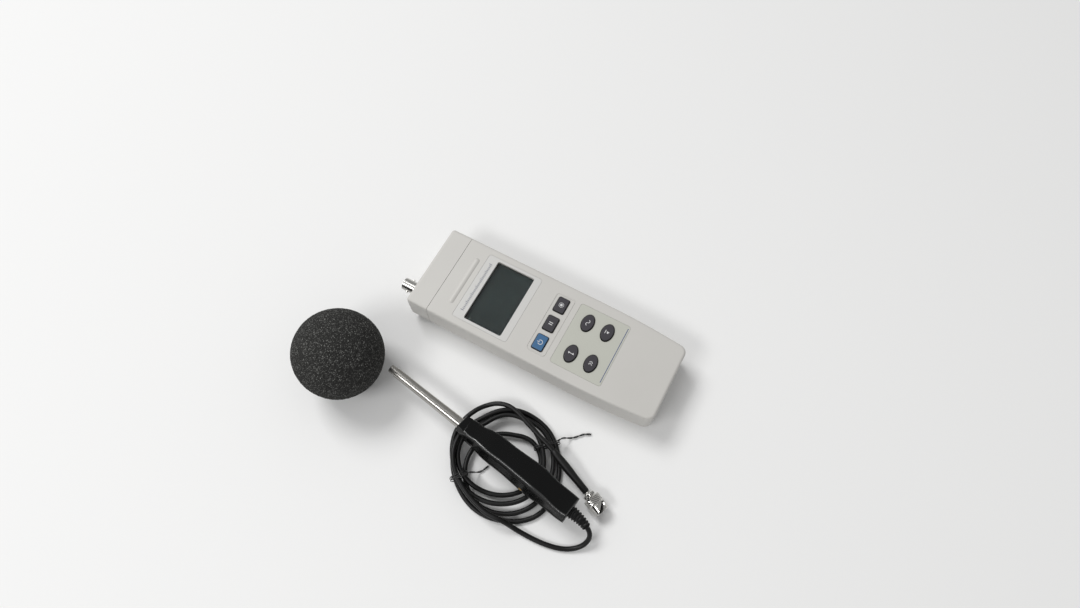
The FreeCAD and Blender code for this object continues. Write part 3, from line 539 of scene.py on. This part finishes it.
class METER_OT_keys(bpy.types.Operator):
    """Finish the seven keys and print a plain symbol on each"""

    bl_idname = "meter.keys"
    bl_label = "Keys"

    def execute(self, context):
        c = colours()
        # The keys' sides are darkened as painted shade, for the shadow in the gap round each key.
        dark = plastic("Dark keys", c.key, 0.42, grain=2800.0, depth=0.00001, vary=0.05,
                       rim_shade=scaled(c.key, 0.12), Specular_IOR_Level=0.30)
        blue = plastic("Power key", c.power_key, 0.38, grain=2800.0, depth=0.00001, vary=0.04,
                       rim_shade=scaled(c.power_key, 0.15), Specular_IOR_Level=0.40)
        dress(dark, "record_button", "hold_button", "weighting_button", "range_button",
              "max_hold_button", "response_button")
        dress(blue, "power_button")
        dress(plastic("Key mat", (0.07, 0.07, 0.07), 0.6), "key_mat")
        self.ink = plastic("Key ink", c.legend, 0.45, depth=0.000002)
        self.symbols()
        return {"FINISHED"}

    def bar(self, bm, x, y, w, h, turn=0.0):
        bmesh.ops.create_grid(bm, x_segments=4, y_segments=4, size=0.5, matrix=(
            Matrix.Translation((x, y, 0)) @ Matrix.Rotation(math.radians(turn), 4, "Z")
            @ Matrix.Diagonal((w, h, 1.0, 1.0))))

    def arc(self, bm, x, y, radius, width, start, sweep):
        edge = [bm.verts.new((x + (radius + d) * math.cos(math.radians(start)),
                              y + (radius + d) * math.sin(math.radians(start)), 0))
                for d in (-width / 2, width / 2)]
        line = bm.edges.new(edge)
        full = sweep == 360
        bmesh.ops.spin(bm, geom=[*edge, line], cent=(x, y, 0), axis=(0, 0, 1),
                       angle=math.radians(sweep), steps=24, use_merge=full)

    def disc(self, bm, x, y, radius, sides=20, turn=0.0):
        bmesh.ops.create_circle(bm, cap_ends=True, segments=sides, radius=radius,
                                matrix=Matrix.Translation((x, y, 0))
                                @ Matrix.Rotation(math.radians(turn), 4, "Z"))

    def trace(self, bm, key):
        """One symbol about the origin, in metres."""
        w = 0.00045
        if key == "power":
            self.arc(bm, 0, -0.0002, 0.0017, w, 125, 290)
            self.bar(bm, 0, 0.0012, w, 0.0019)
        elif key == "hold":
            for x in (-0.00075, 0.00075):
                self.bar(bm, x, 0, 0.0006, 0.0030)
        elif key == "record":
            self.disc(bm, 0, 0, 0.0010)
            self.arc(bm, 0, 0, 0.0018, 0.0003, 0, 360)
        elif key == "weighting":
            self.arc(bm, -0.0011, 0, 0.0011, w, 0, 180)
            self.arc(bm, 0.0011, 0, 0.0011, w, 180, 180)
        elif key == "range":
            self.disc(bm, 0, 0.0016, 0.0010, 3, 90)
            self.disc(bm, 0, -0.0016, 0.0010, 3, -90)
            self.bar(bm, 0, 0, w, 0.0022)
        elif key == "max_hold":
            self.disc(bm, 0, -0.0003, 0.0013, 3, 90)
            self.bar(bm, 0, 0.0016, 0.0030, w)
        else:
            for x in (-0.0011, 0.0005):
                self.bar(bm, x + 0.0004, 0.0006, 0.0019, w, -45)
                self.bar(bm, x + 0.0004, -0.0006, 0.0019, w, 45)

    def symbols(self):
        for key in ("power", "hold", "record", "weighting", "range", "max_hold", "response"):
            node = key + "_button"
            low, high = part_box(node)
            mid = (low + high) / 2
            bm = bmesh.new()
            self.trace(bm, key)
            graph = bpy.context.evaluated_depsgraph_get()
            surface = BVHTree.FromObject(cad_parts[node], graph)
            for v in bm.verts:
                v.co.x += mid.x
                v.co.y += mid.y
                hit = surface.ray_cast(Vector((v.co.x, v.co.y, high.z + 0.01)),
                                       Vector((0, 0, -1)))[0]
                v.co.z = (hit.z if hit else high.z) + 0.00002
            bmesh.ops.solidify(bm, geom=bm.faces[:] + bm.edges[:] + bm.verts[:],
                               thickness=0.00003)
            finish_mesh(bm, key + "_symbol", key + "_key",
                        self.ink)


class METER_OT_socket(bpy.types.Operator):
    """Finish the socket on the end cap and the parts inside the housing"""

    bl_idname = "meter.socket"
    bl_label = "Socket and inner parts"

    def execute(self, context):
        c = colours()
        turned = metal("Turned nickel", c.nickel, 0.16, turn=(math.pi / 2, 0, 0), across=1800.0)
        dress(turned, "jack_body", "jack_nut", "jack_washer")
        dress(plastic("White insulator", (0.62, 0.62, 0.60), 0.35), "jack_insulator",
              "plug_insulator")
        dress(metal("Gold contact", (0.78, 0.56, 0.22), 0.22), "jack_contact", "plug_pin")
        dress(plastic("Black lead", c.cord, 0.42), "lead_black", "jack_lead")
        dress(plastic("Red lead", (0.30, 0.012, 0.012), 0.42), "lead_red")
        dress(plastic("Circuit board", (0.012, 0.085, 0.030), 0.35, grain=1200.0, vary=0.12),
              "circuit_board", "preamp_board")
        dress(plastic("Battery wrap", (0.045, 0.045, 0.050), 0.30), "battery")
        dress(plastic("Battery snap", (0.015, 0.015, 0.015), 0.50), "battery_snap")
        return {"FINISHED"}


class METER_OT_probe(bpy.types.Operator):
    """Finish the handle, tube, grid and trimmer of the microphone probe"""

    bl_idname = "meter.probe"
    bl_label = "Microphone probe"
    edge_round = 0.0009         # rounding of the handle's outer edges
    joint_half = 0.0042         # nearer than this to the halves' joint nothing is rounded
    nose_half = 0.0058          # nor nearer than this to the axis on an end face
    ends = (-0.0965, -0.0005)   # the end faces, along the handle

    def execute(self, context):
        c = colours()
        black = plastic("Handle", c.handle, 0.24, grain=2200.0, depth=0.000006, vary=0.12,
                        Specular_IOR_Level=0.17)
        # The rounded edges get a lighter, glossier copy of the handle finish: a painted glint
        # along the edges.
        edge_glint = plastic("Painted edge glint", scaled(c.handle, 2.0), 0.20, grain=2200.0,
                         depth=0.000004, vary=0.12, Specular_IOR_Level=1.0)
        self.grip("handle_upper", black, edge_glint)
        self.grip("handle_lower", black, edge_glint)
        along = (math.radians(90), 0, math.radians(9.4))
        dress(metal("Drawn steel", c.steel, 0.17, turn=along, across=3000.0), "mic_tube")
        dress(metal("Grid steel", scaled(c.steel, 0.9), 0.26), "mic_grid")
        dress(metal("Capsule", scaled(c.steel, 0.9), 0.30), "mic_capsule")
        dress(metal("Trimmer brass", (0.86, 0.62, 0.25), 0.40), "cal_trimmer")
        return {"FINISHED"}

    def grip(self, node, material, edge):
        """A half of the handle with its outer edges rounded; the rounded faces get a lighter,
        glossier finish, a painted glint.
        """
        bm = bmesh.new()
        bm.from_mesh(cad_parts[node].data)
        bmesh.ops.remove_doubles(bm, verts=bm.verts, dist=1e-6)
        bmesh.ops.dissolve_limit(bm, angle_limit=math.radians(1.5), verts=bm.verts, edges=bm.edges)
        back = PROBE.inverted()

        def outer(v):
            spot = back @ v.co
            return abs(spot.z) > self.joint_half and (
                abs(spot.x) > self.nose_half or not self.ends[0] < spot.y < self.ends[1])

        rims = [e for e in bm.edges if len(e.link_faces) == 2 and e.is_convex
                and e.calc_face_angle() > math.radians(40) and all(outer(v) for v in e.verts)]
        made = bmesh.ops.bevel(bm, geom=rims, offset=self.edge_round, segments=4, profile=0.5,
                               affect="EDGES", material=-1, clamp_overlap=False)
        for face in made["faces"]:
            face.material_index = 1
        half = finish_mesh(bm, node.replace("handle", "grip"), "probe", material, 40.0,
                           replaces=(node,))
        half.data.materials.append(edge)


class METER_OT_cord(bpy.types.Operator):
    """Lay the cord from the handle, through its loose coil, to the plug"""

    bl_idname = "meter.cord"
    bl_label = "Cord"

    def execute(self, context):
        width = sizes().cord_diameter
        data = cord_line(cord_points())
        self.relief(route(data))
        data.bevel_depth = width / 2
        data.bevel_resolution = 5
        data.use_fill_caps = True
        data.materials.append(plastic("Cord sleeve", colours().cord, 0.38, grain=1800.0,
                                      depth=0.000008, vary=0.15, cloud=50.0,
                                      Specular_IOR_Level=0.28))
        cord = bpy.data.objects.new("cord", data)
        bpy.context.scene.collection.objects.link(cord)
        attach(cord, "probe")
        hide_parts("cord_exit", "cord_coil", "cord_lead")
        return {"FINISHED"}

    def relief(self, line):
        """The ribbed strain relief, bent along the first stretch of the cord."""
        start, reach, thick, thin = 0.0050, 0.0195, 0.0044, 0.0027
        bm = bmesh.new()
        walked, last, loop = 0.0, line[0], None
        for a, b in zip(line, line[1:]):
            steps = max(1, round((b - a).length / 0.00032))
            for n in range(steps):
                here = a.lerp(b, n / steps)
                walked += (here - last).length
                last = here
                t = (walked - start) / (reach - start)
                if not 0.0 <= t <= 1.0:
                    continue
                rib = math.sin(walked / 0.0021 * math.tau)
                r = thick + (thin - thick) * t + 0.00048 * max(-0.8, min(0.8, rib * 1.8))
                place = (Matrix.Translation(here)
                         @ (b - a).to_track_quat("Z", "Y").to_matrix().to_4x4())
                ring = bmesh.ops.create_circle(bm, segments=28, radius=r, matrix=place)["verts"]
                edges = {e for v in ring for e in v.link_edges}
                if loop:
                    bmesh.ops.bridge_loops(bm, edges=list(loop | edges))
                else:
                    bmesh.ops.contextual_create(bm, geom=ring)
                loop = edges
        bmesh.ops.contextual_create(bm, geom=list({v for e in loop for v in e.verts}))
        rubber = plastic("Relief rubber", colours().cord, 0.42, grain=2600.0, depth=0.00001,
                         vary=0.10, Specular_IOR_Level=0.28)
        finish_mesh(bm, "ribbed_relief", "probe", rubber, 50.0,
                    replaces=("strain_relief",))


class METER_OT_ties(bpy.types.Operator):
    """Wrap the two twisted wire ties round the coil"""

    bl_idname = "meter.ties"
    bl_label = "Wire ties"

    def execute(self, context):
        paint = plastic("Tie wire", (0.010, 0.010, 0.010), 0.42, grain=3000.0, vary=0.2)
        self.tie("tie_left", 143.0, 0.0270, 0.0397, (0.0385, 0.0120), paint)
        self.tie("tie_right", -47.0, 0.0225, 0.0414, (0.0400, 0.0655), paint)
        return {"FINISHED"}

    def tie(self, name, angle, near, far, tail, paint):
        """A loop of two wires round the bundle, and their twisted tail from one distance from
        the coil's middle to another, down to the floor."""
        r = sizes().tie_wire / 2
        out = Vector((math.cos(math.radians(angle)), math.sin(math.radians(angle)), 0))
        along = Vector((-out.y, out.x, 0))
        top = max(p.z for p in coil_points() if (p - COIL).xy.normalized() @ out.xy > 0.97)
        top += sizes().cord_diameter / 2 + r * 2.4
        bm = bmesh.new()
        for k in (-1, 1):
            s = along * (0.0007 * k)
            loop = [COIL + out * d + Vector((0, 0, z)) + s for d, z in (
                (far, top * 0.3), (far - 0.001, 0.0006), (near + 0.002, 0.0006),
                (near, top * 0.35), (near + 0.0005, top - 0.0012), (near + 0.0025, top),
                (far - 0.0025, top), (far - 0.0002, top - 0.0015), (far + 0.0004, top * 0.5))]
            tube_mesh(bm, loop, r)
        start, end = tail
        for phase in (0.0, math.pi):
            twist = []
            for i in range(49):
                t = i / 48
                a = phase + t * 17.0
                d = start + (end - start) * t
                over = smooth(near - 0.008, near + 0.001, d) - smooth(far - 0.001, far + 0.010, d)
                high = 0.0014 + (top + r * 1.2 - 0.0014) * over
                bend = 0.0022 * math.sin(t * 3.0) + 0.0006 * math.sin(t * 9.0)
                twist.append(COIL + out * d + Vector((0, 0, high)) + along * bend
                             + along * (math.cos(a) * r * 1.1)
                             + Vector((0, 0, math.sin(a) * r * 1.1)))
            tube_mesh(bm, twist, r)
        finish_mesh(bm, name, "probe", paint, 60.0, replaces=("cable_tie",))


class METER_OT_plug(bpy.types.Operator):
    """Finish the plug and build its knurled turning collar"""

    bl_idname = "meter.plug"
    bl_label = "Plug"

    def execute(self, context):
        c = colours()
        tilt = PLUG_WAY.to_track_quat("Z", "Y").inverted().to_euler()
        # The sunk knurl, flutes and slots are darkened: painted shade in the recesses.
        nickel = metal("Plug nickel", c.nickel, 0.12, turn=tuple(tilt), across=1800.0,
                       groove_shade=scaled(c.nickel, 0.04))
        rubber = plastic("Shrink sleeve", c.cord, 0.46, grain=1500.0, depth=0.00002, vary=0.12,
                         Specular_IOR_Level=0.30)
        self.boot(rubber)
        self.nose(nickel)
        self.collar(nickel)
        return {"FINISHED"}

    def turned(self, rows, steps=96):
        """A closed outline of (radius, distance) rows turned about the Z axis."""
        bm = bmesh.new()
        bm.verts.layers.float.new("Deep")
        verts = [bm.verts.new((x, 0, z)) for x, z in rows]
        edges = [bm.edges.new((v, verts[(i + 1) % len(verts)])) for i, v in enumerate(verts)]
        bmesh.ops.spin(bm, geom=verts + edges, cent=(0, 0, 0), axis=(0, 0, 1), angle=math.tau,
                       steps=steps, use_merge=True)
        return bm

    def carve(self, bm, outer, start, end, size, share):
        """Sinks the outer surface between two distances, by the share(degrees, z) of a size."""
        deep = bm.verts.layers.float["Deep"]
        for v in bm.verts:
            r = math.hypot(v.co.x, v.co.y)
            if r > outer - 1e-6 and start < v.co.z < end:
                v[deep] = share(math.degrees(math.atan2(v.co.y, v.co.x)), v.co.z)
                k = 1.0 - size * v[deep] / r
                v.co.x *= k
                v.co.y *= k

    def knurl(self, turn, z):
        return (0.0, 0.5, 1.0, 0.5)[(round(turn / 3.75) + round(z / 0.0006)) % 4]

    def flutes(self, turn, z):
        return (0.0, 0.5, 1.0, 0.5)[round(turn / 3.75) % 4]

    def slots(self, turn, z):
        """Two slots that wind round the collar, opposite each other."""
        away = (turn - (z - 0.0490) * 14000.0 + 60.0) % 180.0 - 90.0
        return 1.0 - smooth(13.0, 17.0, abs(away))

    def fit(self, bm, name, body, slot, material, replaces, angle=30.0):
        place = (Matrix.Translation(PLUG_START)
                 @ PLUG_WAY.to_track_quat("Z", "Y").to_matrix().to_4x4())
        bmesh.ops.transform(bm, matrix=place, verts=bm.verts)
        finish_mesh(bm, name, body, material, angle, replaces=replaces)

    def boot(self, rubber):
        """Shrunk sleeve over the end of the cord, fuller in the middle."""
        shape = ((0.0013, 0.0019), (0.0016, 0.0023), (0.0050, 0.0026), (0.0110, 0.0030),
                 (0.0150, 0.0031), (0.0200, 0.0030), (0.0245, 0.0027), (0.0300, 0.0026),
                 (0.0370, 0.0025), (0.0380, 0.0024), (0.0383, 0.0021))
        rows = [(0.0016, shape[0][0])] + [(r, w) for w, r in shape] + [(0.0016, shape[-1][0])]
        bm = self.turned(rows, 48)
        self.fit(bm, "boot_sleeve", "probe", "cord", rubber, ("plug_boot",), 50.0)

    def nose(self, nickel):
        """Crimp ferrule, ribbed nut and the sleeve that goes into the socket."""
        rows = [(0.0018, 0.0360), (0.0020, 0.0360), (0.0020, 0.0386), (0.0026, 0.0388),
                (0.0026, 0.0397), (0.0040, 0.0399), (0.0043, 0.0402)]
        rows += [(0.0043, 0.0402 + 0.0004 * i) for i in range(1, 5)]
        rows += [(0.0036, 0.0420), (0.00352, 0.0430), (0.00352, 0.0531), (0.0034, 0.0534),
                 (0.0031, 0.0534), (0.0030, 0.0532), (0.0030, 0.0441), (0.0018, 0.0441)]
        bm = self.turned(rows)
        self.carve(bm, 0.0043, 0.0401, 0.0419, 0.00025, self.flutes)
        self.fit(bm, "plug_nose", "probe", "nickel", nickel, ("plug_body",))

    def collar(self, nickel):
        """The turning collar: a crossed knurl behind, two bayonet slots in front."""
        back, neck, front = 0.0425, 0.0484, 0.0550
        wide, narrow = 0.0061, 0.0059
        rows = [(0.0037, back), (0.0054, back), (wide - 0.0001, back + 0.0004)]
        rows += [(wide, back + 0.0005 + 0.0006 * i) for i in range(9)]
        rows += [(wide - 0.0005, neck), (wide - 0.0005, neck + 0.0005)]
        rows += [(narrow, neck + 0.0008 + 0.0006 * i) for i in range(10)]
        rows += [(narrow - 0.0003, front), (0.0050, front), (0.0048, front - 0.0002),
                 (0.0048, back + 0.0020), (0.0037, back + 0.0020)]
        bm = self.turned(rows)
        self.carve(bm, narrow, neck + 0.0010, front - 0.0002, 0.0009, self.slots)
        self.carve(bm, wide, back + 0.0008, neck - 0.0004, 0.00035, self.knurl)
        self.fit(bm, "plug_collar", "plug_collar", "nickel", nickel, ("plug_ring",))


class METER_OT_windscreen(bpy.types.Operator):
    """Model the open-cell foam ball with its bore"""

    bl_idname = "meter.windscreen"
    bl_label = "Windscreen"

    def execute(self, context):
        low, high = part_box("windscreen")
        middle, radius = (low + high) / 2, (high.z - low.z) / 2 - 0.0003
        bore, floor = 0.0033, -0.009
        bm = bmesh.new()
        steps = 150
        rim = math.acos(bore / radius)
        line = [bm.verts.new((radius * math.cos(a), 0, radius * math.sin(a))) for a in (
            -math.pi / 2 + (rim - 0.03 + math.pi / 2) * i / steps for i in range(steps + 1))]
        top = radius * math.sin(rim) - 0.0004
        line += [bm.verts.new((bore + 0.0003, 0, top)), bm.verts.new((bore, 0, top - 0.0008))]
        line += [bm.verts.new((bore, 0, top - 0.0008 + (floor - top + 0.0008) * i / 14))
                 for i in range(1, 15)]
        line.append(bm.verts.new((0, 0, floor)))
        edges = [bm.edges.new(pair) for pair in zip(line, line[1:])]
        bmesh.ops.spin(bm, geom=line + edges, cent=(0, 0, 0), axis=(0, 0, 1), angle=math.tau,
                       steps=240, use_merge=True)
        bmesh.ops.remove_doubles(bm, verts=bm.verts, dist=1e-6)
        for v in bm.verts:
            out = v.co.normalized()
            lump = noise.noise(v.co * 45.0) * 0.00035
            cell = noise.noise(v.co * 900.0) * 0.00022 + noise.noise(v.co * 1900.0) * 0.00016
            edge = 0.3 if math.hypot(v.co.x, v.co.y) < bore * 1.2 else 1.0
            v.co += out * (min(0.0, lump) + (cell - 0.0001) * edge)
        way = Vector((0.12, 0.93, -0.34)).normalized()
        place = Matrix.Translation(middle) @ way.to_track_quat("Z", "Y").to_matrix().to_4x4()
        bmesh.ops.transform(bm, matrix=place, verts=bm.verts)
        ball = finish_mesh(bm, "windscreen_foam", "foam_ball", self.foam(), 80.0,
                           replaces=("windscreen",))
        return {"FINISHED"}

    def foam(self):
        c = colours().foam
        f = Finish("Open-cell foam", 0.9, Specular_IOR_Level=0.1)
        g = f.group("Foam cells", Cells=1.0 / sizes().foam_pore)
        # Bright specks over the dark foam are painted glints.
        f.paint(g.outputs["Glints"], scaled(c, 0.66), scaled(c, 5.0))
        f.bump(g.outputs["Depth"], -0.0007)
        return f.material


class METER_OT_stage(bpy.types.Operator):
    """Set up the floor, the soft studio light and the camera"""

    bl_idname = "meter.stage"
    bl_label = "Stage"
    floor_half = 4.0
    sky_level = 0.40
    camera_at = (-0.16945, -0.09161, 0.51315)
    camera_turn = (23.146, 0.417, -61.377)
    focal_length = 23.71

    def execute(self, context):
        scene = bpy.context.scene
        scene.view_settings.view_transform = "Standard"
        self.floor()
        self.sky(scene)
        self.lamp("key_light", (0.65, 2.35, 3.30), (-0.03, 0, 0), (1.9, 1.4), 84.0)
        self.lamp("strip_light", (-1.55, 0.70, 1.85), (-0.08, 0, 0), (1.1, 0.5), 17.0)
        lens = bpy.data.cameras.new("camera")
        lens.sensor_width = 36.0
        lens.lens = self.focal_length
        lens.clip_start, lens.clip_end = 0.02, 20.0
        camera = bpy.data.objects.new("camera", lens)
        camera.location = self.camera_at
        camera.rotation_euler = Euler([math.radians(a) for a in self.camera_turn])
        scene.collection.objects.link(camera)
        scene.camera = camera
        return {"FINISHED"}

    def floor(self):
        bm = bmesh.new()
        bmesh.ops.create_grid(bm, x_segments=2, y_segments=2, size=self.floor_half)
        mesh = bpy.data.meshes.new("floor")
        bm.to_mesh(mesh)
        bm.free()
        floor = bpy.data.objects.new("floor", mesh)
        bpy.context.scene.collection.objects.link(floor)
        mesh.materials.append(plastic("Floor", colours().floor, 0.75, grain=300.0, depth=0.0,
                                      vary=0.004, cloud=1.5))

    def sky(self, scene):
        world = bpy.data.worlds.new("studio")
        world.use_nodes = True
        back = world.node_tree.nodes["Background"]
        back.inputs["Color"].default_value = (1.0, 1.0, 1.0, 1.0)
        back.inputs["Strength"].default_value = self.sky_level
        scene.world = world

    def lamp(self, name, at, aim, size, power):
        data = bpy.data.lights.new(name, "AREA")
        data.shape = "RECTANGLE"
        data.size, data.size_y = size
        data.energy = power
        lamp = bpy.data.objects.new(name, data)
        lamp.location = at
        lamp.rotation_euler = (Vector(aim) - Vector(at)).to_track_quat("-Z", "Y").to_euler()
        bpy.context.scene.collection.objects.link(lamp)


ORDER = (METER_OT_housing, METER_OT_display, METER_OT_keys, METER_OT_socket, METER_OT_probe,
         METER_OT_ties, METER_OT_plug, METER_OT_cord, METER_OT_windscreen, METER_OT_stage)


class METER_PT_panel(bpy.types.Panel):
    """The meter's pieces and the values that shape them"""

    bl_idname = "METER_PT_panel"
    bl_label = "Sound level meter"
    bl_space_type = "VIEW_3D"
    bl_region_type = "UI"
    bl_category = "Meter"

    def draw(self, context):
        for group in (context.scene.meter_colours, context.scene.meter_sizes):
            box = self.layout.box()
            for key in group.__annotations__:
                box.prop(group, key)
        for operator in ORDER:
            self.layout.operator(operator.bl_idname)


CLASSES = (MeterColours, MeterSizes, *ORDER, METER_PT_panel)


def register():
    for cls in CLASSES:
        bpy.utils.register_class(cls)
    bpy.types.Scene.meter_colours = PointerProperty(type=MeterColours)
    bpy.types.Scene.meter_sizes = PointerProperty(type=MeterSizes)


def unregister():
    del bpy.types.Scene.meter_sizes
    del bpy.types.Scene.meter_colours
    for cls in reversed(CLASSES):
        bpy.utils.unregister_class(cls)


def main():
    register()
    for operator in ORDER:
        category, name = operator.bl_idname.split(".")
        getattr(getattr(bpy.ops, category), name)()


if __name__ == "__main__":
    main()
